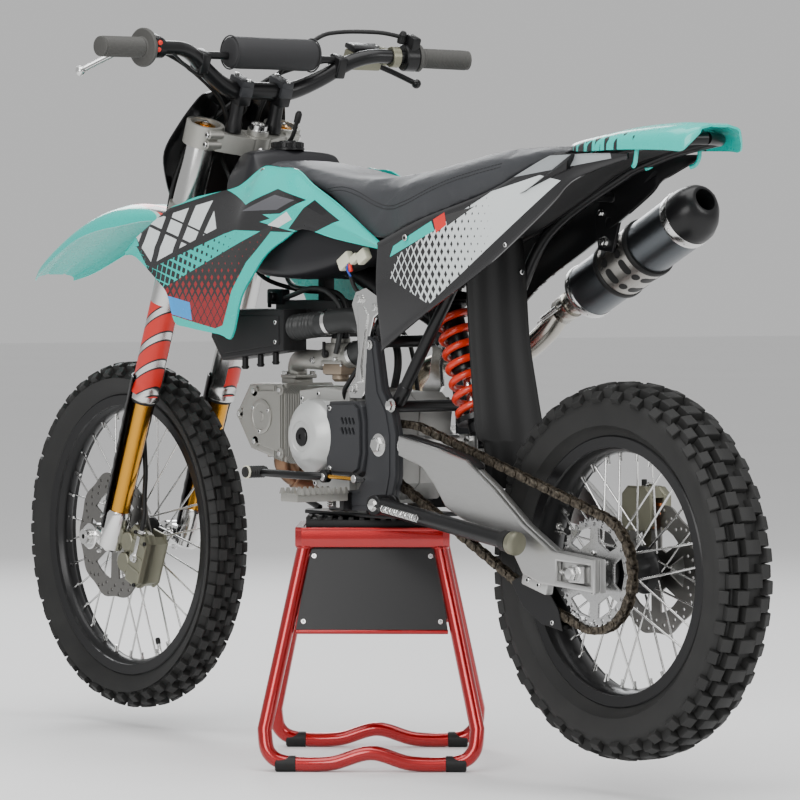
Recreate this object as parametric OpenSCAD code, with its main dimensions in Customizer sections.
// Small off-road motorcycle on a paddock stand. Millimetres, +X forward, +Y to the rider's left, +Z up.
// Points written as [x, z] or [x, y, z] count x from the rear axle and z from the floor.
// Points on the steering count x ahead of the steering axis and z along it, from the top of the fork.

/* [Wheels] */
// Distance between the two wheel axles
wheelbase = 1245; // [1200:5:1500]
// Height of the rear axle above the floor
rear_axle_z = 318; // [306:1:340]
// Height of the front axle above the floor
front_axle_z = 313; // [306:1:340]
// Outside radius of the front tyre
front_tyre_r = 283; // [262:1:290]
// Outside radius of the rear tyre
rear_tyre_r = 267; // [240:1:272]
// Half the width of the front tyre
front_tyre_half = 39; // [32:1:42]
// Half the width of the rear tyre
rear_tyre_half = 49; // [40:1:50]
// Flange radius of the front rim
front_rim_r = 230; // [200:1:240]
// Flange radius of the rear rim
rear_rim_r = 192; // [165:1:200]
// Half the width of the front rim
front_rim_half = 22; // [18:1:26]
// Half the width of the rear rim
rear_rim_half = 30; // [24:1:34]
// Number of spokes in each wheel
spoke_count = 32; // [16:4:40]
// Radius of a spoke
spoke_r = 1.6; // [1:0.1:2.5]
// Radius of the front axle
front_axle_r = 7.5; // [6:0.5:9]
// Radius of the hole along the front axle
front_axle_bore_r = 4; // [2:0.5:5]
// Radius of the rear axle
rear_axle_r = 7.5; // [6:0.5:9]
// Radius of the front brake disc
front_disc_r = 105; // [85:1:110]
// Radius of the rear brake disc
rear_disc_r = 95; // [80:1:98]
// Thickness of a brake disc
disc_t = 3.5; // [2.5:0.5:5]

/* [Steering] */
// Angle of the steering axis from the vertical, in degrees
rake = 21.7; // [18:0.1:26]
// Length of the fork from its top to the axle
fork_length = 725; // [700:5:780]
// Distance of the fork legs ahead of the steering axis
leg_ahead = 40; // [35:1:45]
// Distance of the axle ahead of the fork legs
axle_ahead = 40; // [30:1:50]
// Half the distance between the fork legs
leg_half = 74; // [70:1:80]
// Radius of the upper fork tubes
upper_tube_r = 24; // [20:0.5:26]
// Radius of the lower fork tubes
lower_tube_r = 16.5; // [14:0.5:19]
// Length of the upper fork tubes
upper_tube_len = 466; // [420:2:500]
// Radius of the steering stem
stem_r = 12.5; // [10:0.5:14]
// Half the width of the handlebar
bar_half = 353; // [320:1:430]
// Radius of the handlebar at its middle
bar_r = 14; // [11:0.5:15]

/* [Chassis] */
// Distance of the swingarm pivot ahead of the rear axle
pivot_x = 467; // [440:1:500]
// Height of the swingarm pivot
pivot_z = 484; // [470:1:500]
// Radius of the swingarm pivot bolt
pivot_r = 7; // [5:0.5:9]
// Pitch radius of the rear sprocket
rear_sprocket_r = 82; // [70:1:88]
// Pitch radius of the front sprocket
front_sprocket_r = 28; // [24:1:34]
// Distance of the chain from the middle of the bike
chain_y = 62; // [60:0.5:64]
// Radius of the muffler
muffler_r = 43; // [36:1:46]
// Length of the folded side stand
side_stand_len = 338; // [300:2:360]

/* [Paddock stand] */
// Height of the top of the stand's rubber pad
stand_h = 373; // [371:1:373]
// Half the width of the stand at the floor
stand_half_w = 171; // [150:1:200]
// Half the depth of the stand at the floor
stand_half_d = 186; // [165:1:210]
// Radius of the stand's tube
stand_tube_r = 11; // [9:0.5:14]
// Angle of the stand's wide face from the bike's line, in degrees
stand_turn = 51.5; // [0:0.5:90]

/* [Hidden] */

$fn = 48;
// Gap between a shaft and the hole it turns in
running = 0.05;
// Gap between two pieces that rest against each other
seat_gap = 0.3;
// Gap on each side of what turns past a fixed piece
turn_gap = 6;
// Bike pieces are drawn from the rear axle, and the whole stands centred on the origin
rear_x = -(wheelbase + front_tyre_r - rear_tyre_r) / 2;
// The body ahead of the swingarm pivot is drawn for this wheelbase and stretched with it
drawn_wheelbase = 1245;
drawn_pivot_x = 467;
body_stretch = (wheelbase - drawn_pivot_x) / (drawn_wheelbase - drawn_pivot_x);
axle_x = leg_ahead + axle_ahead;
head_x = wheelbase - axle_x * cos(rake) - fork_length * sin(rake);
head_z = front_axle_z - axle_x * sin(rake) + fork_length * cos(rake);

// ---------------------------------------------------------------- places and helpers

function body_x(x) = x <= drawn_pivot_x ? x : drawn_pivot_x + (x - drawn_pivot_x) * body_stretch;
function steered(p) = [
    head_x + p[0] * cos(rake) - p[2] * sin(rake),
    p[1],
    head_z + p[0] * sin(rake) + p[2] * cos(rake)
];
function mix(a, b, t) = a + (b - a) * t;
function unit(v) = v / norm(v);

module on_bike() {
    translate([rear_x, 0, 0]) children();
}

module on_steering() {
    on_bike() translate([head_x, 0, head_z]) rotate([0, -rake, 0]) children();
}

module on_wheel(x, z) {
    on_bike() translate([x, 0, z]) rotate([-90, 0, 0]) children();
}

module both_sides() {
    children();
    mirror([0, 1, 0]) children();
}

// Straight round bar from a to b
module bar(a, b, r, r2 = -1) {
    v = b - a;
    translate(a)
        rotate([0, acos(v[2] / norm(v)), atan2(v[1], v[0])])
            cylinder(h = norm(v), r1 = r, r2 = r2 < 0 ? r : r2);
}

// Turned piece from a towards b: each point of the profile is [radius, distance from a]
module turned(a, b, profile) {
    v = b - a;
    translate(a) rotate([0, acos(v[2] / norm(v)), atan2(v[1], v[0])]) rotate_extrude() polygon(profile);
}

// Bent tube through points
module bent_tube(points, r) {
    hose(points, r, 12);
}

// Plate with an outline in [x, z], between two distances from the middle of the bike
module side_plate(outline, y_low, y_high) {
    translate([0, y_high, 0]) rotate([90, 0, 0]) linear_extrude(y_high - y_low) polygon(outline);
}

// Round boss across the bike
module cross_boss(x, z, r, y_low, y_high) {
    translate([x, y_low, z]) rotate([-90, 0, 0]) cylinder(h = y_high - y_low, r = r);
}

// Block given by its lowest and highest corners
module block(low, high) {
    translate(low) cube(high - low);
}

// Closed skin through rings of equal length, each turning from +Y to +Z as seen from +X
module loft(rings) {
    n = len(rings[0]);
    last = len(rings) - 1;
    polyhedron(
        points = [for (ring = rings) each ring],
        faces = concat(
            [[for (i = [0:n - 1]) i]],
            [for (k = [0:last - 1]) for (i = [0:n - 1])
                [k * n + i, (k + 1) * n + i, (k + 1) * n + (i + 1) % n]],
            [for (k = [0:last - 1]) for (i = [0:n - 1])
                [k * n + i, (k + 1) * n + (i + 1) % n, k * n + (i + 1) % n]],
            [[for (i = [n - 1:-1:0]) last * n + i]]
        )
    );
}

// Skin panel on the left side: each station is [x, top y, top z, middle y, middle z, bottom y, bottom z]
module left_panel(stations, t) {
    loft([for (s = stations) let (x = body_x(s[0])) [
        [x, s[5] - t, s[6]], [x, s[5], s[6]],
        [x, s[3], s[4]], [x, s[1], s[2]],
        [x, s[1] - t, s[2]], [x, s[3] - t, s[4]]
    ]]);
}

// Arched blade: each station is [x, middle z, edge z, half width, thickness]
module arched_blade(stations) {
    loft([for (s = stations) let (x = s[0], drop = s[1] - s[2], w = s[3], t = s[4]) [
        [x, w - t, s[2]], [x, w, s[2]], [x, w * 0.9, s[1] - drop * 0.35], [x, w * 0.45, s[1] - drop * 0.06],
        [x, 0, s[1]],
        [x, -w * 0.45, s[1] - drop * 0.06], [x, -w * 0.9, s[1] - drop * 0.35], [x, -w, s[2]], [x, t - w, s[2]],
        [x, t - w * 0.9, s[1] - drop * 0.35 - t], [x, -w * 0.45, s[1] - drop * 0.06 - t], [x, 0, s[1] - t],
        [x, w * 0.45, s[1] - drop * 0.06 - t], [x, w * 0.9 - t, s[1] - drop * 0.35 - t]
    ]]);
}

// Smooth route through hand-placed points, with `steps` places for each stretch
function route_point(p, i, t) = let (
    n = len(p) - 1,
    a = p[max(i - 1, 0)], b = p[i], c = p[min(i + 1, n)], d = p[min(i + 2, n)]
) 0.5 * (2 * b + (c - a) * t + (2 * a - 5 * b + 4 * c - d) * t * t + (3 * b - a - 3 * c + d) * t * t * t);
function route(p, steps) = concat(
    [for (i = [0:len(p) - 2]) for (k = [0:steps - 1]) route_point(p, i, k / steps)],
    [p[len(p) - 1]]
);
function heading(path, i) =
    unit(path[min(i + 1, len(path) - 1)] - path[max(i - 1, 0)]);
// A sideways direction carried along the path without twist
function carried(path, i) = i == 0
    ? unit(cross(heading(path, 0), abs(heading(path, 0)[1]) > 0.9 ? [0, 0, 1] : [0, 1, 0]))
    : let (before = carried(path, i - 1), h = heading(path, i)) unit(before - h * (before * h));

// Hose of round section along a path
module hose(path, r, sides = 8) {
    loft([for (i = [0:len(path) - 1])
        let (h = heading(path, i), u = carried(path, i), v = cross(h, u))
            [for (k = [0:sides - 1]) path[i] + r * (cos(k * 360 / sides) * u + sin(k * 360 / sides) * v)]
    ]);
}

// ---------------------------------------------------------------- wheels

module tyre(tyre_r, tyre_half, rim_r, rim_half) {
    bead_r = rim_r - 12;
    shoulder = tyre_half * 0.86;
    rotate_extrude($fn = 96) polygon([
        [bead_r, 4 - rim_half], [rim_r + seat_gap, 4 - rim_half], [rim_r + seat_gap, -rim_half - 1],
        [rim_r + 14, 5 - tyre_half], [mix(rim_r, tyre_r, 0.6), -tyre_half], [tyre_r - 15, -shoulder],
        [tyre_r, -shoulder * 0.45], [tyre_r, shoulder * 0.45], [tyre_r - 15, shoulder],
        [mix(rim_r, tyre_r, 0.6), tyre_half], [rim_r + 14, tyre_half - 5],
        [rim_r + seat_gap, rim_half + 1], [rim_r + seat_gap, rim_half - 4], [bead_r, rim_half - 4]
    ]);
}

module rim(rim_r, rim_half) {
    bead_r = rim_r - 12;
    well_r = rim_r - 22;
    rotate_extrude($fn = 96) polygon([
        [well_r - 3, -6], [well_r - 3, 6], [bead_r - 4, rim_half - 8], [bead_r - 4, rim_half],
        [rim_r, rim_half], [rim_r, rim_half - 2.5], [bead_r - seat_gap, rim_half - 3.5],
        [bead_r - seat_gap, 3.5 - rim_half], [rim_r, 2.5 - rim_half], [rim_r, -rim_half],
        [bead_r - 4, -rim_half], [bead_r - 4, 8 - rim_half]
    ]);
}

function spoke_rim_r(rim_r) = rim_r - 25;

// One spoke from a hub flange to the rim, leading or trailing the radius
module spoke(flange_r, flange_y, rim_r, side, lead, turn, lean) {
    near = flange_r + seat_gap + spoke_r * 0.6;
    far = spoke_rim_r(rim_r) - seat_gap - spoke_r * 0.2;
    rotate([0, 0, turn])
        bar([near, 0, side * (flange_y + lead * (spoke_r + seat_gap))],
            [far * cos(lean), lead * far * sin(lean), side * 2 + lead * 0.5], spoke_r, $fn = 16);
}

module spokes(flange_r, flange_y, rim_r) {
    pairs = spoke_count / 4;
    pitch = 360 / pairs;
    lean = 1.25 * 360 / pairs / 2;
    for (i = [0:pairs - 1]) for (side = [-1, 1]) for (lead = [-1, 1])
        spoke(flange_r, flange_y, rim_r, side, lead, (i + 0.25 * side + 0.25 * lead) * pitch, lean);
}

front_flange_r = 30;
front_flange_y = 27;
front_disc_y = 41;
front_hub_half = 46;
rear_flange_r = 34;
rear_flange_y = 29;
rear_disc_y = -52;
rear_hub_half = 58;

module hub(bore_r, flange_r, flange_y, barrel_r, half, boss_r) {
    difference() {
        union() {
            for (s = [-1, 1]) translate([0, 0, s * flange_y - 3]) cylinder(h = 6, r = flange_r);
            translate([0, 0, -flange_y]) cylinder(h = 2 * flange_y, r = barrel_r);
            translate([0, 0, -half]) cylinder(h = 2 * half, r = boss_r);
        }
        translate([0, 0, -half - 1]) cylinder(h = 2 * half + 2, r = bore_r);
    }
}

// Disc with a waved rim, drilled, on a hole that fits round the hub's boss
module brake_disc(disc_r, hole_r, y, waves = 10) {
    translate([0, 0, y - disc_t / 2]) difference() {
        linear_extrude(disc_t) polygon([for (a = [0:4:356])
            (disc_r - 3 + 3 * cos(waves * a)) * [cos(a), sin(a)]]);
        translate([0, 0, -1]) cylinder(h = disc_t + 2, r = hole_r);
        for (i = [0:waves - 1]) {
            rotate([0, 0, i * 360 / waves + 18]) translate([(disc_r + hole_r) / 2 - 10, 0, -1])
                cylinder(h = disc_t + 2, r = 9);
        }
    }
}

module front_tyre() {
    color("dimgray") on_wheel(wheelbase, front_axle_z)
        tyre(front_tyre_r, front_tyre_half, front_rim_r, front_rim_half);
}

module front_rim() {
    color("black") on_wheel(wheelbase, front_axle_z) rim(front_rim_r, front_rim_half);
}

module front_spokes() {
    color("silver") on_wheel(wheelbase, front_axle_z) spokes(front_flange_r, front_flange_y, front_rim_r);
}

module front_hub() {
    color("black") on_wheel(wheelbase, front_axle_z)
        hub(front_axle_r + running, front_flange_r, front_flange_y, 20, front_hub_half, 16);
}

module front_brake_disc() {
    color("silver") on_wheel(wheelbase, front_axle_z)
        brake_disc(front_disc_r, 16 + seat_gap, front_disc_y);
}

module rear_tyre() {
    color("dimgray") on_wheel(0, rear_axle_z) tyre(rear_tyre_r, rear_tyre_half, rear_rim_r, rear_rim_half);
}

module rear_rim() {
    color("black") on_wheel(0, rear_axle_z) rim(rear_rim_r, rear_rim_half);
}

module rear_spokes() {
    color("silver") on_wheel(0, rear_axle_z) spokes(rear_flange_r, rear_flange_y, rear_rim_r);
}

module rear_hub() {
    color("black") on_wheel(0, rear_axle_z)
        hub(rear_axle_r + running, rear_flange_r, rear_flange_y, 24, rear_hub_half, 19);
}

module rear_brake_disc() {
    color("silver") on_wheel(0, rear_axle_z) brake_disc(rear_disc_r, 19 + seat_gap, rear_disc_y);
}

// Toothed disc, kept just inside the chain; its carrier sleeve sits round the hub's boss
module rear_sprocket() {
    chain_in = 6.5;
    color("silver") on_wheel(0, rear_axle_z) translate([0, 0, chain_y - 2]) difference() {
        union() {
            cylinder(h = 4, r = rear_sprocket_r - chain_in - 1);
            translate([0, 0, -18]) cylinder(h = 18, r = 30);
        }
        translate([0, 0, -30]) cylinder(h = 40, r = 19 + seat_gap);
        for (i = [0:7]) rotate([0, 0, i * 45]) translate([54, 0, -1]) cylinder(h = 6, r = 9);
    }
}

// ---------------------------------------------------------------- fork and steering

clamp_ring_r = upper_tube_r + 6;
lower_clamp_top = -133;
lower_clamp_t = 28;
upper_clamp_top = 4;
upper_clamp_t = 36;
lug_in_y = 54;
lug_out_y = 94;

module fork_upper_tubes() {
    color("silver") on_steering() both_sides() translate([leg_ahead, leg_half, -upper_tube_len])
        cylinder(h = upper_tube_len, r = upper_tube_r);
}

// Lower tubes with the cast feet that hold the axle
module fork_lower_legs() {
    tube_bottom = -fork_length + 45;
    color("gold") on_steering() both_sides() {
        difference() {
            union() {
                translate([leg_ahead, leg_half, tube_bottom])
                    cylinder(h = -upper_tube_len - seat_gap - tube_bottom, r = lower_tube_r);
                translate([leg_ahead, leg_half, tube_bottom - 50]) cylinder(h = 70, r = lower_tube_r + 5);
                translate([axle_x, lug_out_y, -fork_length]) rotate([90, 0, 0])
                    cylinder(h = lug_out_y - lug_in_y, r = 21);
                translate([leg_ahead, lug_in_y + 4, -fork_length - 5])
                    cube([axle_ahead, lug_out_y - lug_in_y - 8, 26]);
            }
            translate([axle_x, lug_out_y + 1, -fork_length]) rotate([90, 0, 0])
                cylinder(h = lug_out_y - lug_in_y + 2, r = front_axle_r + 0.02);
        }
    }
}

// Thin shields in front of the lower tubes
module fork_guards() {
    foot_in = lower_tube_r + 5 + seat_gap;
    top_in = upper_tube_r + 1.5;
    t = 2.7;
    length = fork_length - upper_tube_len + 6;
    color("black") on_steering() both_sides()
        translate([leg_ahead, leg_half, 30 - fork_length]) difference() {
            cylinder(h = length, r1 = foot_in + t, r2 = top_in + t);
            translate([0, 0, -0.5]) cylinder(h = length + 1, r1 = foot_in, r2 = top_in);
            translate([-60, -60, -1]) cube([64, 120, length + 2]);
        }
}

module fork_clamp(top, thick, ring_r, stem_hole_r) {
    difference() {
        union() {
            for (s = [-1, 1]) translate([leg_ahead, s * leg_half, top - thick]) cylinder(h = thick, r = ring_r);
            translate([0, 0, top - thick]) linear_extrude(thick - 6) polygon([
                [-18, -16], [8, -leg_half + 6], [leg_ahead + 12, -leg_half + 6],
                [24, 0], [leg_ahead + 12, leg_half - 6], [8, leg_half - 6], [-18, 16]
            ]);
            translate([0, 0, top - thick]) cylinder(h = thick - 4, r = 22);
        }
        for (s = [-1, 1]) translate([leg_ahead, s * leg_half, top - thick - 1])
            cylinder(h = thick + 2, r = upper_tube_r + 0.05);
        if (stem_hole_r > 0) translate([0, 0, top - thick - 1]) cylinder(h = thick + 2, r = stem_hole_r);
    }
}

module upper_clamp() {
    color("silver") on_steering() fork_clamp(upper_clamp_top, upper_clamp_t, clamp_ring_r, stem_r + 0.05);
}

// The stem stands in the lower clamp and turns in the frame's head tube
module lower_clamp() {
    color("silver") on_steering() {
        fork_clamp(lower_clamp_top, lower_clamp_t, upper_tube_r + 5, 0);
        translate([0, 0, lower_clamp_top - lower_clamp_t + 2])
            cylinder(h = lower_clamp_t - 2 - lower_clamp_top + upper_clamp_top, r = stem_r);
        translate([0, 0, upper_clamp_top - 4 + seat_gap]) cylinder(h = 8, r = 17);
    }
}

// Hollow axle with a nut at each end and a collar against each side of the hub
module front_axle() {
    end_y = lug_out_y + 10;
    color("silver") on_steering() translate([axle_x, 0, -fork_length]) rotate([-90, 0, 0]) difference() {
        union() {
            translate([0, 0, -end_y]) cylinder(h = 2 * end_y, r = front_axle_r);
            for (s = [-1, 1]) {
                translate([0, 0, s * (lug_out_y + 5)]) cylinder(h = 9.4, r = 12, center = true);
                translate([0, 0, s * (front_hub_half + lug_in_y) / 2])
                    cylinder(h = lug_in_y - front_hub_half - 1, r = 12, center = true);
            }
        }
        translate([0, 0, -end_y - 1]) cylinder(h = 2 * end_y + 2, r = front_axle_bore_r);
    }
}

bar_low = [19, 0, 66];
bar_clamp_at = [8, 132, 112];
bar_bend = [-6, 182, 139];
bar_end = [-35, bar_half, 147];
pad_at = [12, 0, 130];
riser_y = 38;
grip_len = 95;
function along_grip(from_end) = bar_end + unit(bar_bend - bar_end) * from_end;

module handlebar() {
    left = [[bar_low[0], 56, bar_low[2]], bar_clamp_at, bar_bend, along_grip(4.4)];
    color("black") on_steering() {
        bar([bar_low[0], -56, bar_low[2]], [bar_low[0], 56, bar_low[2]], bar_r);
        both_sides() {
            bar(left[0], left[1], bar_r - 1);
            bar(left[1], left[2], bar_r - 2);
            bar(left[2], left[3], 11);
            translate(left[0]) sphere(r = bar_r + 0.4);
            translate(left[1]) sphere(r = bar_r);
            translate(left[2]) sphere(r = bar_r - 1);
        }
        bar([bar_clamp_at[0] + 4, -bar_clamp_at[1] + 6, pad_at[2] - 6],
            [bar_clamp_at[0] + 4, bar_clamp_at[1] - 6, pad_at[2] - 6], 6);
    }
}

// Two tall risers on the upper clamp with caps over the bar
module bar_clamps() {
    foot = upper_clamp_top - 6 + seat_gap + 1.2;
    color("black") on_steering() both_sides() difference() {
        union() {
            bar([14, riser_y, foot], [bar_low[0], riser_y, bar_low[2] - 6], 13, 12);
            translate([bar_low[0] - 21, riser_y - 11, bar_low[2] - 12]) cube([42, 22, 34]);
        }
        translate([bar_low[0], 0, bar_low[2]]) rotate([-90, 0, 0])
            translate([0, 0, riser_y - 30]) cylinder(h = 60, r = bar_r + 0.05);
    }
}

module bar_pad() {
    color("black") on_steering() difference() {
        translate([pad_at[0], -84, pad_at[2]]) rotate([-90, 0, 0]) cylinder(h = 168, r = 28);
        translate([bar_clamp_at[0] + 4, -90, pad_at[2] - 6]) rotate([-90, 0, 0]) cylinder(h = 180, r = 6 + seat_gap);
    }
}

// Sleeves over the bar's ends, the left one with a large flange
module grips() {
    color("gray") on_steering() {
        for (s = [-1, 1]) difference() {
            union() {
                bar(sided(along_grip(0), s), sided(along_grip(grip_len), s), 16);
                bar(sided(along_grip(grip_len - 7), s), sided(along_grip(grip_len), s), s > 0 ? 30 : 22);
            }
            bar(sided(along_grip(4), s), sided(along_grip(grip_len + 10), s), 11.1);
        }
    }
}

function sided(p, s) = [p[0], s * p[1], p[2]];

module collar_on_bar(from, to, r, s) {
    difference() {
        bar(sided(along_grip(from), s), sided(along_grip(to), s), r);
        bar(sided(along_grip(from - 5), s), sided(along_grip(to + 5), s), 11.1);
    }
}

module hand_controls() {
    left_controls();
    right_controls();
}

// Stop switch and clutch perch with its lever
module left_controls() {
    perch = along_grip(grip_len + 24);
    color("black") on_steering() {
        collar_on_bar(grip_len + 1, grip_len + 15, 17, 1);
        difference() {
            union() {
                bar(along_grip(grip_len + 16.5), along_grip(grip_len + 32), 16);
                translate(perch + [6, -22, -20]) cube([36, 24, 20]);
            }
            bar(along_grip(grip_len + 2), along_grip(grip_len + 50), 11.1);
        }
        hose([[32.8, 219, 131], [41, 238, 125], [51, 274, 102], [59, 312, 76]], 5.5, 8);
    }
}

// Throttle housing and brake master cylinder with its lever
module right_controls() {
    throttle = sided(along_grip(grip_len + 12), -1);
    color("black") on_steering() {
        difference() {
            union() {
                bar(sided(along_grip(grip_len + 1), -1), sided(along_grip(grip_len + 24), -1), 22);
                translate(throttle + [-14, -7, 8]) cube([26, 17, 32]);
            }
            bar(sided(along_grip(grip_len - 6), -1), sided(along_grip(grip_len + 44), -1), 11.1);
        }
        difference() {
            union() {
                bar(sided(along_grip(grip_len + 32), -1), sided(along_grip(grip_len + 46), -1), 17);
                translate([-4, -224, 122]) cube([22, 14, 26]);
                translate([15, -224, 103]) cube([30, 62, 42]);
            }
            bar(sided(along_grip(grip_len + 20), -1), sided(along_grip(grip_len + 70), -1), 11.1);
        }
        hose([[50.9, -206, 116], [50, -232, 108], [38, -268, 98], [20, -303, 87]], 5.5, 8);
    }
}

// Cables from the bar, in front of the upper clamp and beside the head tube: points on the steering
throttle_upper = [
    [-6, -234, 172], [14, -200, 172], [50, -150, 158], [52, -110, 144], [56, -62, 92], [47, -32, 34],
    [49, -30, -4], [48, -30, -28], [30, -34, -52], [0, -38, -68], [-28, -36, -92]
];
clutch_upper = [
    [36, 212, 122], [54, 166, 110], [60, 110, 84], [55, 52, 44], [47, 31, 10], [49, 30, -4], [48, 30, -28],
    [30, 34, -52], [0, 38, -68], [-28, 36, -94]
];
// Their way on under the tank, to the carburettor and to the clutch's cover
throttle_lower = [
    [886, -33, 802], [870, -28, 758], [834, -10, 728], [780, 10, 717], [712, 22, 714], [648, 30, 708],
    [625, 31, 684], [627, 31, 640.8]
];
clutch_lower = [
    [884, 34, 796], [860, 26, 738], [822, -18, 714], [784, -54, 708], [752, -73, 692], [690, -82, 676], [622, -84, 636],
    [598, -84, 558]
];
module control_cables() {
    throttle = concat([for (p = throttle_upper) steered(p)], throttle_lower);
    clutch = concat([for (p = clutch_upper) steered(p)], clutch_lower);
    color("black") on_bike() {
        hose(route(throttle, 2), 3.5, 6);
        hose(route(clutch, 2), 3.5, 6);
    }
}

module front_fender() {
    color("turquoise") on_steering() arched_blade([
        [-62, -200, -220, 40, 4], [-20, -172, -192, 42, 4], [8, -161.5, -183, 44, 4], [44, -161.5, -184, 46, 4],
        [90, -168, -186, 46, 4], [163, -184, -208, 54, 4], [221, -201, -240, 68, 4], [271, -226, -268, 73, 4],
        [323, -268, -304, 73, 4], [380, -324, -356, 67, 4], [430, -378, -404, 56, 4], [460, -416, -430, 40, 4]
    ]);
}

// Curved plate in front of the clamps, held by two arms against the fork tubes
module number_plate() {
    arm_x = leg_ahead + upper_tube_r + seat_gap;
    color("black") on_steering() {
        loft([for (s = [
            [112, 62, -158], [109, 92, -110], [102, 112, -60], [93, 100, -8], [83, 80, 45]
        ]) let (x = s[0], w = s[1], z = s[2]) [
            [x - 22, -w, z], [x - 4, -w * 0.6, z], [x, 0, z], [x - 4, w * 0.6, z], [x - 22, w, z],
            [x - 25, w, z], [x - 8, w * 0.6, z], [x - 4, 0, z], [x - 8, -w * 0.6, z], [x - 25, -w, z]
        ]]);
        both_sides() block([arm_x, leg_half - 12, -128], [90.3, leg_half - 4, -108]);
    }
}

// Block that straddles the disc behind the left leg, with a slot for the disc and room for the spokes
module front_caliper() {
    color("olive") on_steering() difference() {
        translate([-48, 28, -fork_length - 40]) cube([66.2, 44, 93]);
        translate([axle_x, front_disc_y, -fork_length]) rotate([-90, 0, 0])
            translate([0, 0, -disc_t / 2 - turn_gap])
                cylinder(h = disc_t + 2 * turn_gap, r = front_disc_r + turn_gap);
        translate([axle_x, 20, -fork_length]) rotate([-90, 0, 0])
            cylinder(h = front_disc_y - 20, r = front_disc_r - 20);
    }
}

// Brake hose, from the master cylinder behind the plate and down inside the left leg
hose_points = [
    [30, -159.4, 121], [45, -136, 112], [64, -70, 84], [68, -20, 50], [65, 24, 20], [76, 66, -34], [78, 79, -90],
    [80, 79, -140], [80, 72, -240], [80, 66, -330], [76, 56, -410], [70, 48, -470], [64, 45, -524],
    [46, 44, -566], [28, 47, -594], [4, 58, -618], [-20, 67, -646], [-26, 70, -671.5]
];
module front_brake_hose() {
    color("black") on_steering() hose(route(hose_points, 3), 4, 8);
}

// ---------------------------------------------------------------- frame

head_tube_r = 24;
head_tube_top = upper_clamp_top - upper_clamp_t - 1;
head_tube_bottom = lower_clamp_top + 1;

module main_frame() {
    top = steered([0, 0, head_tube_top - 18]);
    low = steered([-14, 0, head_tube_bottom + 22]);
    color("black") difference() {
        union() {
            on_steering() translate([0, 0, head_tube_bottom])
                cylinder(h = head_tube_top - head_tube_bottom, r = head_tube_r);
            on_bike() {
                bent_tube([low, [body_x(780), 0, 790], [body_x(640), 0, 745], [540, 0, 700]], 19);
                bar([545, 0, 702], [433, 0, 717], 13);
                both_sides() {
                    bent_tube([[540, 0, 700], [515, 50, 668], [489, 53.4, 634]], 12);
                    cross_boss(491, 637, 9, 50, 78.7);
                }
            }
        }
        on_steering() translate([0, 0, head_tube_bottom - 40])
            cylinder(h = head_tube_top - head_tube_bottom + 80, r = stem_r + running);
    }
}

plate_outline = [
    [499, 645], [479, 636], [464, 566], [440, 535], [430, 500], [430, 440], [440, 405], [452, 388],
    [562, 382], [578, 398], [560, 412], [522, 416], [504, 440], [498, 470], [499, 520], [506, 560]
];
module frame_plates() {
    color("dimgray") on_bike() difference() {
        union() {
            both_sides() side_plate(plate_outline, 79, 87);
            cross_boss(452, 541, 9, -86, 86);
            bar(side_pivot + side_axis * 32, side_pivot + side_axis * (13 + seat_gap), 12);
        }
        cross_boss(pivot_x, pivot_z, pivot_r + running, -100, 100);
    }
}

module engine_brackets() {
    outline = [
        [546, 712], [520, 717], [488, 703], [478, 684], [500, 672], [512, 640], [520, 600], [516, 568],
        [530, 550], [560, 550], [566, 564], [548, 582], [540, 620], [544, 660], [556, 692]
    ];
    color("silver") on_bike() both_sides() difference() {
        side_plate(outline, 66, 74);
        cross_boss(533, 700, 4.2, 60, 80);
        cross_boss(494, 688, 4.2, 60, 80);
    }
}

module subframe() {
    color("black") on_bike() both_sides() {
        bent_tube([[446.2, 68, 548.4], [345, 66, 684], [250, 62, 800], [60, 56, 886]], 9);
        bent_tube([[498, 56.6, 692], [400, 60, 762], [250, 61, 812]], 9);
        bent_tube([[60, 56, 886], [-28, 52, 907], [-110, 47.3, 919], [-150, 36, 922], [-164, 0, 923]], 9);
    }
}

module engine_guard() {
    color("black") on_bike() {
        block([470, -70, stand_h + seat_gap], [700, 70, stand_h + 6]);
        both_sides() bar([690, 34, stand_h + 7], [742, 34, stand_h + 24], 5);
        both_sides() block([506, 34, stand_h + 5], [560, 44, 397.7]);
    }
}

// ---------------------------------------------------------------- engine

module crankcase() {
    color("gray") on_bike() {
        side_plate([[486, 424], [520, 398], [640, 404], [700, 440], [704, 560], [640, 566], [560, 560],
            [510, 560], [484, 540], [490, 500], [484, 460]], -64, 50);
        side_plate([[575, 401], [640, 404], [700, 440], [704, 560], [640, 566], [575, 561.2]], 49, 64);
    }
}

module cylinder_fins() {
    for (i = [0:6]) block([707 + i * 8, -52, 446], [710 + i * 8, 52, 566]);
}

module engine_cylinder() {
    color("gray") on_bike() {
        cylinder_core();
        cylinder_fins();
    }
}
module cylinder_core() {
    block([704 + seat_gap, -40, 458], [762, 40, 554]);
}

module cylinder_head() {
    color("silver") on_bike() {
        side_plate([[762.3, 446], [858, 466], [898, 519], [860, 568], [762.3, 570]], -50, 50);
        block([780, -18, 565], [812, 18, 578]);
    }
}

module engine_covers() {
    flywheel_cover();
    sprocket_cover();
    clutch_cover();
}

module flywheel_cover() {
    color("lightgray") on_bike() {
        cross_boss(632, 492, 56, 64 + seat_gap, 96);
        translate([632, 96, 492]) rotate([-90, 0, 0]) cylinder(h = 18, r1 = 56, r2 = 30);
    }
}

module sprocket_cover() {
    color("dimgray") on_bike() difference() {
        side_plate([[590, 436], [590, 546], [520, 548], [508, 540], [502, 518], [501, 470], [508, 443], [520, 436]],
            70.5, 96);
        cross_boss(632, 492, 56.6, 60, 120);
    }
}

module clutch_cover() {
    color("gray") on_bike() {
        cross_boss(600, 492, 62, -92, -64 - seat_gap);
        cross_boss(524, 470, 38, -78, -64 - seat_gap);
    }
}

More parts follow.
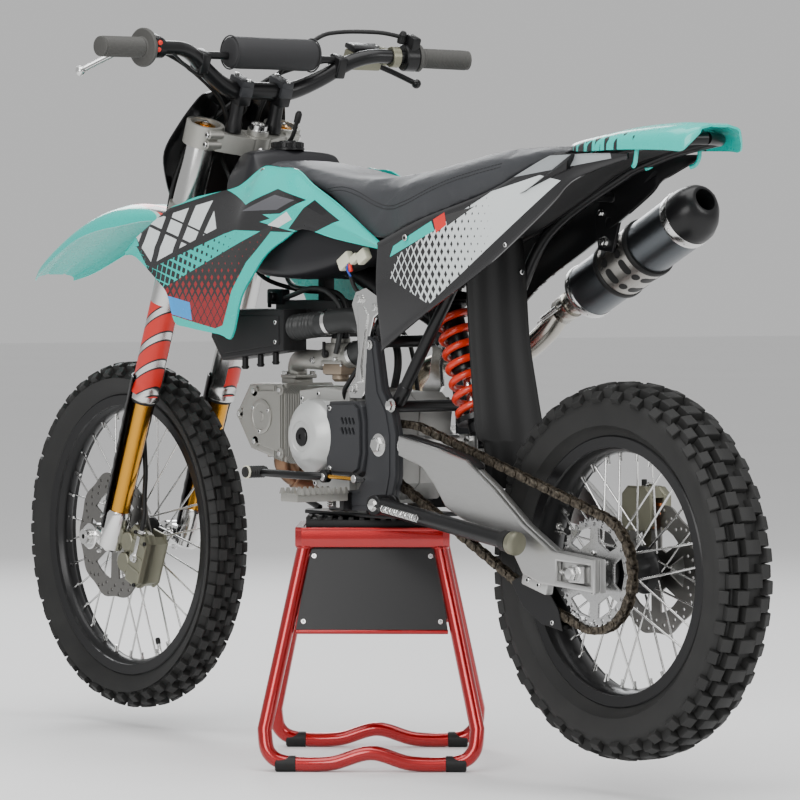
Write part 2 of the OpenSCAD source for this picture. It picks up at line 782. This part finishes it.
module carburettor() {
    color("silver") on_bike() {
        block([618, 12, 578], [664, 50, 640]);
        bar([664, 31, 612], [690, 31, 606], 16);
        bent_tube([[688, 31, 606], [735, 27, 607], [774, 10, 605], [792, 2, 596], [795, 0, 581.9]], 15);
        bar([604, 31, 616], [619, 31, 612], 18);
    }
}

module intake_hose() {
    color("black") on_bike() hose(route([
        [603.2, 31, 616.2], [582, 31, 622], [562, 34, 634], [556, 40, 652], [572, 48, 667], [606, 62, 667],
        [650, 69, 661], [704.5, 69, 656.5]
    ], 4), 19, 12);
}

module airbox() {
    color("black") on_bike() {
        side_plate([[706, 621], [870, 604], [900, 640], [892, 684], [706, 684]], 46, 92);
        side_plate([[706, 641], [880, 641], [892, 684], [706, 684]], -60, 47);
        block([640, -60, 664], [800, 40, 698]);
        side_plate([[712, 690], [728, 690], [728, 752.4], [712, 747.3]], -10, 10);
    }
}

module exhaust_header() {
    path = [
        [828, 0, 455.9], [828.5, -1, 440], [828, -20, 422], [808, -60, 414], [762, -98, 432], [710, -112, 490],
        [655, -114, 556], [593, -112, 597], [490, -116, 606], [404, -126, 618], [354, -138, 650],
        [326, -144, 680], [300, -146, 694]
    ];
    color("silver") on_bike() hose(route(path, 3), 17, 12);
}

muffler_front = [300, -146, 694];
muffler_rear = [0, -146, 836.5];
module muffler() {
    length = norm(muffler_rear - muffler_front);
    color("gray") on_bike() turned(muffler_front, muffler_rear, [
        [0, 1.2], [24, 1.2], [muffler_r - 6, 22], [muffler_r, length - 60], [30, length], [17, length],
        [17, length - 70], [0, length - 70]
    ]);
}

// ---------------------------------------------------------------- bodywork

module fuel_tank() {
    color("black") on_bike() difference() {
        loft([for (s = [
            [508, 770, 806.4, 70, 60], [546, 757, 825.6, 80, 68], [600, 742, 857.6, 92, 74],
            [680, 730, 879.6, 101, 80], [760, 733, 895.6, 101, 82], [788.5, 741, 901.5, 100, 82],
            [796, 744, 928, 98, 80], [840, 765, 932, 90, 70], [872, 790, 926, 82, 62]
        ]) let (x = body_x(s[0]), low = s[1], top = s[2], w = s[3], v = s[4]) [
            [x, w * 0.6, low], [x, w, mix(low, top, 0.3)], [x, w, mix(low, top, 0.7)], [x, v, top - 8],
            [x, v * 0.6, top], [x, -v * 0.6, top], [x, -v, top - 8],
            [x, -w, mix(low, top, 0.7)], [x, -w, mix(low, top, 0.3)], [x, -w * 0.6, low]
        ]]);
        tank_tunnel();
    }
}

// Room round the frame's top tube, under the tank
module tank_tunnel() {
    side_plate([for (p = [[500, 690], [900, 690], [900, 861], [780, 811.6], [640, 765.6], [500, 712]])
        [body_x(p[0]), p[1]]], -26, 26);
}

module tank_cap() {
    color("black") on_bike() {
        translate([body_x(822), 0, 932 + seat_gap]) cylinder(h = 12, r = 26);
        bar([body_x(808), 0, 942], [body_x(790), 0, 990], 5);
    }
}

seat_stations = [
    [62, 912, 917, 60], [100, 900, 919, 72], [142, 882, 915, 84], [206, 852, 913, 94], [288, 828, 901, 102.6],
    [372, 806, 889, 107.6], [430, 793, 884, 99], [470, 786, 881, 97], [506, 806, 879, 96.5],
    [546, 826, 880, 93], [600, 858, 884, 89], [680, 880, 898, 82], [760, 896, 909, 71], [788, 902, 913, 60]
];
module seat() {
    color("dimgray") on_bike() loft([for (s = seat_stations)
        let (x = body_x(s[0]), low = s[1], top = s[2], w = s[3], h = top - low) [
        [x, w, low], [x, w * 1.01, low + h * 0.4], [x, w * 0.9, low + h * 0.8], [x, w * 0.6, top - h * 0.04],
        [x, 0, top],
        [x, -w * 0.6, top - h * 0.04], [x, -w * 0.9, low + h * 0.8], [x, -w * 1.01, low + h * 0.4], [x, -w, low]
    ]]);
}

shroud_stations = [
    [443, 103, 780, 104, 777, 103, 773], [547, 101, 838, 112, 812, 112, 790], [624, 96, 872, 116, 838, 116, 805],
    [670, 92, 896, 119, 850, 119, 788], [710, 94, 900, 121, 850, 121, 768], [743, 98, 903, 123, 850, 124, 735],
    [768, 100, 893, 125, 830, 128, 700], [786, 103, 882, 126, 810, 132, 641], [815, 108, 870, 127, 800, 134, 645],
    [897, 120, 858, 129, 790, 136, 655], [937, 123, 848, 130, 780, 135, 664], [958, 125, 843, 130, 780, 134, 706],
    [987, 127, 830, 131, 780, 132, 727], [1052, 129, 796, 131, 782, 130, 765], [1084, 129, 775, 130, 772, 129, 768]
];
module shrouds() {
    color("turquoise") on_bike() both_sides() left_panel(shroud_stations, 4);
}

side_stations = [
    [-72, 66, 904, 67, 901, 66, 896], [0, 78, 905, 82, 891, 80, 876], [32, 85, 906, 89, 886, 87, 861],
    [68, 92, 902, 95, 870, 94, 829], [195, 100, 854, 105, 810, 103, 747], [330, 110, 819, 113, 750, 108, 680],
    [427, 112, 788, 115, 720, 106, 631], [442, 112, 783, 115, 716, 104, 622]
];
module side_panels() {
    color("black") on_bike() both_sides() left_panel(side_stations, 3.5);
}

module rear_fender() {
    color("turquoise") on_bike() arched_blade([
        [-192, 941, 930, 40, 4], [-171, 944, 904, 56, 4], [-142, 945, 907, 63, 4], [-60, 941, 909, 71, 4],
        [20, 931, 908, 72, 4], [58, 926, 911, 58, 4]
    ]);
}

// Shield over the rear tyre, between the tubes under the seat
module inner_fender() {
    color("black") on_bike() arched_blade([
        [-108, 922, 916, 36.4, 3], [-28, 911, 904, 41.4, 3], [60, 894, 884, 46.4, 3], [155, 852, 843, 49.4, 3],
        [250, 812, 804, 51.6, 3], [288, 800, 792, 51.6, 3]
    ]);
}

module mud_flap() {
    color("black") on_bike() loft([for (s = [
        [258, 50, 425], [262.5, 50, 487], [265, 62, 502], [276, 60, 560], [290, 56, 640], [298, 55.2, 730],
        [300, 50, 790]
    ]) [
        [s[0] - 1.5, s[1], s[2]], [s[0] - 1.5, -s[1], s[2]], [s[0] + 1.5, -s[1], s[2]], [s[0] + 1.5, s[1], s[2]]
    ]]);
}

// ---------------------------------------------------------------- suspension and drive

shock_top = [418, 0, 716];
shock_low = [337, 0, 493];
module shock_absorber() {
    way = unit(shock_low - shock_top);
    turns = 7;
    coil_r = 23.5;
    wire_r = 5.5;
    length = 160;
    side = cross(way, [0, 1, 0]);
    start = shock_top + way * 34;
    color("red") on_bike() {
        hose([for (i = [0:turns * 12])
            start + way * (length * i / (turns * 12)) + coil_r * (cos(i * 30) * side + sin(i * 30) * [0, 1, 0])
        ], wire_r, 6);
        bar(shock_top, shock_low, 9);
        bar(shock_top + way * 14, shock_top + way * 28, 29);
        bar(shock_top + way * 28, shock_top + way * 130, 16);
        bar(start + way * (length + 7), start + way * (length + 15), 29);
        cross_boss(shock_top[0], shock_top[2], 14, -14, 14);
        cross_boss(shock_low[0], shock_low[2], 13, -14.6, 14.6);
    }
}

// Outline of each side of the swingarm, along the top from the frame and back along the bottom
arm_outline = [
    [412, 499], [320, 483], [252, 468], [226, 451], [192, 431], [121, 381], [56, 347], [-39, 339], [-39, 292],
    [82, 299], [121, 311], [146, 343], [173, 366], [252, 379], [299, 398], [327, 430], [354, 454], [412, 470]
];
module swingarm() {
    color("silver") on_bike() difference() {
        union() {
            both_sides() {
                side_plate(arm_outline, 74, 96);
                side_plate([[470, 497], [470, 471], [398, 471], [398, 497]], 55, 78);
            }
            cross_boss(pivot_x, pivot_z, 13, -77, 77);
            block([322, -80, 444], [354, 80, 468]);
            side_plate([[322, 460], [354, 460], [348, 500], [324, 500]], -22, -15);
            side_plate([[322, 460], [354, 460], [348, 500], [324, 500]], 15, 22);
            cross_boss(0, rear_axle_z, rear_axle_r, -112, 112);
            both_sides() cross_boss(0, rear_axle_z, 13, 96, 108);
            both_sides() cross_boss(0, rear_axle_z, 12, rear_hub_half + 0.5, 75);
        }
        cross_boss(pivot_x, pivot_z, pivot_r + running, -100, 100);
    }
}

front_sprocket = [525, 492];
// Chain line: round the rear sprocket, under to the guide, round the front sprocket, over the arm
chain_line = concat(
    [for (a = [105:15:285]) [rear_sprocket_r * cos(a), rear_axle_z + rear_sprocket_r * sin(a)]],
    [[110, 266]],
    [for (a = [-62:20:98]) front_sprocket + front_sprocket_r * [cos(a), sin(a)]],
    [[404, 513]]
);
function offset_loop(line, d) = [for (i = [0:len(line) - 1]) let (
    n = len(line),
    a = unit(line[i] - line[(i + n - 1) % n]),
    b = unit(line[(i + 1) % n] - line[i]),
    side = unit([a[1] + b[1], -a[0] - b[0]])
) line[i] + side * d / max(0.5, side * [b[1], -b[0]])];

module chain() {
    half = 6;
    color("dimgray") on_bike() difference() {
        side_plate(offset_loop(chain_line, half), chain_y - 7, chain_y + 7);
        side_plate(offset_loop(chain_line, -half), chain_y - 10, chain_y + 10);
    }
}

module chain_guide() {
    color("black") on_bike() difference() {
        side_plate([[60, 232], [108, 240], [150, 262], [176, 296], [120, 316], [100, 296], [70, 262]], 53, 71);
        side_plate([[40, 229], [110, 257], [190, 295], [190, 312], [110, 275], [40, 249]], chain_y - 7.5, chain_y + 7.5);
    }
}

module rear_caliper() {
    color("olive") on_bike() difference() {
        union() {
            block([-5, rear_disc_y - 24, 372], [58, rear_disc_y + 17, 435]);
            block([20, 0.3 - 74, 330], [46, -66, 380]);
        }
        translate([0, rear_disc_y, rear_axle_z]) rotate([-90, 0, 0])
            translate([0, 0, -disc_t / 2 - turn_gap]) cylinder(h = disc_t + 2 * turn_gap, r = rear_disc_r + turn_gap);
    }
}

// ---------------------------------------------------------------- feet and stands

// Footpegs, gear lever, brake pedal and kick starter
module foot_controls() {
    color("silver") on_bike() {
        both_sides() {
            block([530, 98, 396], [580, 190, 420]);
            block([536, 87 + seat_gap, 384], [572, 104, 412]);
        }
        bent_tube([[528, 101.2, 434], [560, 120, 434], [716, 128, 436]], 6);
        bar([716, 118, 437], [716, 158, 437], 9);
        bent_tube([[566, -96, 400], [612, -138, 410], [716, -144, 440]], 6);
        block([706, -164, 432], [742, -130, 446]);
        bent_tube([[560, -92.3, 500], [560, -146, 500], [486, -150, 606]], 8);
        bar([486, -144, 606], [486, -196, 608], 9);
    }
}

side_pivot = [436, 113, 397];
side_axis = [0.12, -0.99277, 0];
module side_stand() {
    drop = 7;
    tip = side_pivot + side_stand_len * [-cos(drop), 0.03, -sin(drop)];
    color("black") on_bike() {
        bar(side_pivot, tip, 12);
        bar(side_pivot + side_axis * 13, side_pivot - side_axis * 12, 15);
        translate(tip) block([-8, -16, -16], [4, 18, 16]);
    }
}

module paddock_stand() {
    top_z = stand_h - 45;
    leg_top = [101, 84, top_z];
    foot = [stand_half_w - stand_tube_r, stand_half_d - stand_tube_r, stand_tube_r];
    color("red") on_bike() translate([body_x(598), 0, 0]) rotate([0, 0, stand_turn]) {
        difference() {
            block([-116, -96, top_z], [116, 96, stand_h - 18]);
            block([-104, -84, top_z - 1], [104, 84, stand_h - 24]);
        }
        block([-108, -90, stand_h - 18], [108, 90, stand_h]);
        for (s = [-1, 1]) {
            bent_tube([
                [-leg_top[0], s * leg_top[1], top_z + 4], [-foot[0] + 2, s * (foot[1] - 12), foot[2] + 50],
                [-foot[0] + 8, s * (foot[1] - 3), foot[2] + 18], [-foot[0] + 34, s * foot[1], foot[2]],
                [-60, s * foot[1], foot[2]], [0, s * foot[1], foot[2] + 17], [60, s * foot[1], foot[2]],
                [foot[0] - 34, s * foot[1], foot[2]], [foot[0] - 8, s * (foot[1] - 3), foot[2] + 18],
                [foot[0] - 2, s * (foot[1] - 12), foot[2] + 50], [leg_top[0], s * leg_top[1], top_z + 4]
            ], stand_tube_r);
            mirror([0, s < 0 ? 1 : 0, 0]) loft_panel(top_z);
        }
    }
}

// Sheet between the legs of one side
module loft_panel(top_z) {
    low_z = 201;
    lean = (stand_half_d - stand_tube_r - 84) / (top_z - stand_tube_r);
    spread = (stand_half_w - stand_tube_r - 101) / (top_z - stand_tube_r);
    y_low = 84 + lean * (top_z - low_z);
    x_low = 101 + spread * (top_z - low_z) - 8;
    polyhedron(
        points = [
            [-94, 82, top_z], [94, 82, top_z], [94, 85, top_z], [-94, 85, top_z],
            [-x_low, y_low - 2, low_z], [x_low, y_low - 2, low_z], [x_low, y_low + 1, low_z], [-x_low, y_low + 1, low_z]
        ],
        faces = [[3, 2, 1, 0], [4, 5, 6, 7], [0, 1, 5, 4], [1, 2, 6, 5], [2, 3, 7, 6], [3, 0, 4, 7]]
    );
}

front_tyre();
front_rim();
front_spokes();
front_hub();
front_brake_disc();
rear_tyre();
rear_rim();
rear_spokes();
rear_hub();
rear_brake_disc();
rear_sprocket();
fork_upper_tubes();
fork_lower_legs();
fork_guards();
upper_clamp();
lower_clamp();
front_axle();
handlebar();
bar_clamps();
bar_pad();
grips();
hand_controls();
control_cables();
front_fender();
number_plate();
front_caliper();
front_brake_hose();
main_frame();
frame_plates();
engine_brackets();
subframe();
engine_guard();
crankcase();
engine_cylinder();
cylinder_head();
engine_covers();
carburettor();
intake_hose();
airbox();
exhaust_header();
muffler();
fuel_tank();
tank_cap();
seat();
shrouds();
side_panels();
rear_fender();
inner_fender();
mud_flap();
shock_absorber();
swingarm();
chain();
chain_guide();
rear_caliper();
foot_controls();
side_stand();
paddock_stand();
